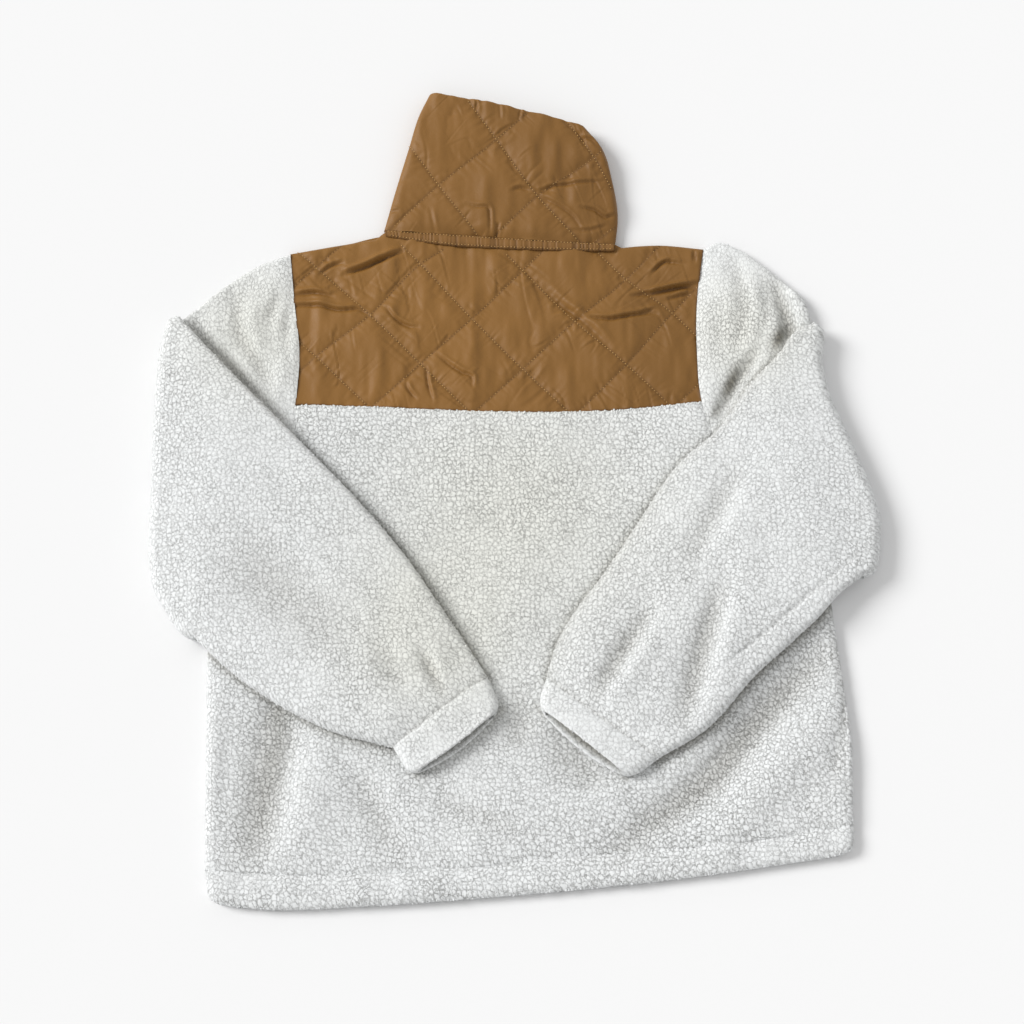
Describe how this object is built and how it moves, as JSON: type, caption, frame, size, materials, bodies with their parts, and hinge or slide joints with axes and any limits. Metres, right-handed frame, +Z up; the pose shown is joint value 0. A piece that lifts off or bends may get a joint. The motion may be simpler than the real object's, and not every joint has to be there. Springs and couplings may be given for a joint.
{
  "type": "sherpa fleece pullover",
  "caption": "Pullover of sherpa fleece with a quilted yoke and stand collar, lying flat on its front with both sleeves folded over its back.",
  "frame": {"origin": "on the surface the pullover lies on, under the middle of its outline", "axes": "+Z up from the surface, +Y from the hem towards the collar, +X towards the pullover's right sleeve; the back of the garment faces up"},
  "size_m": [0.6673, 0.7802, 0.0266],
  "materials": {
    "sherpa_body": "off-white sherpa pile in small tight curls, matt",
    "sherpa_hem": "off-white sherpa pile, turned up and stitched",
    "sherpa_sleeve": "off-white sherpa pile in small tight curls, matt",
    "sherpa_cuff": "off-white sherpa pile, turned and stitched",
    "quilted_satin": "tan nylon satin quilted in diamonds with paler thread, soft sheen",
    "binding": "tan nylon satin, finely gathered"
  },
  "bodies": {
    "root": {"front_panel": "sherpa_body", "back_panel": "sherpa_body", "hem_front": "sherpa_hem", "hem_back": "sherpa_hem", "front_yoke": "quilted_satin", "back_yoke": "quilted_satin", "collar": "quilted_satin", "neck_band": "binding", "sleeve_left": "sherpa_sleeve", "sleeve_right": "sherpa_sleeve", "cuff_left": "sherpa_cuff", "cuff_right": "sherpa_cuff"}
  },
  "joints": []
}
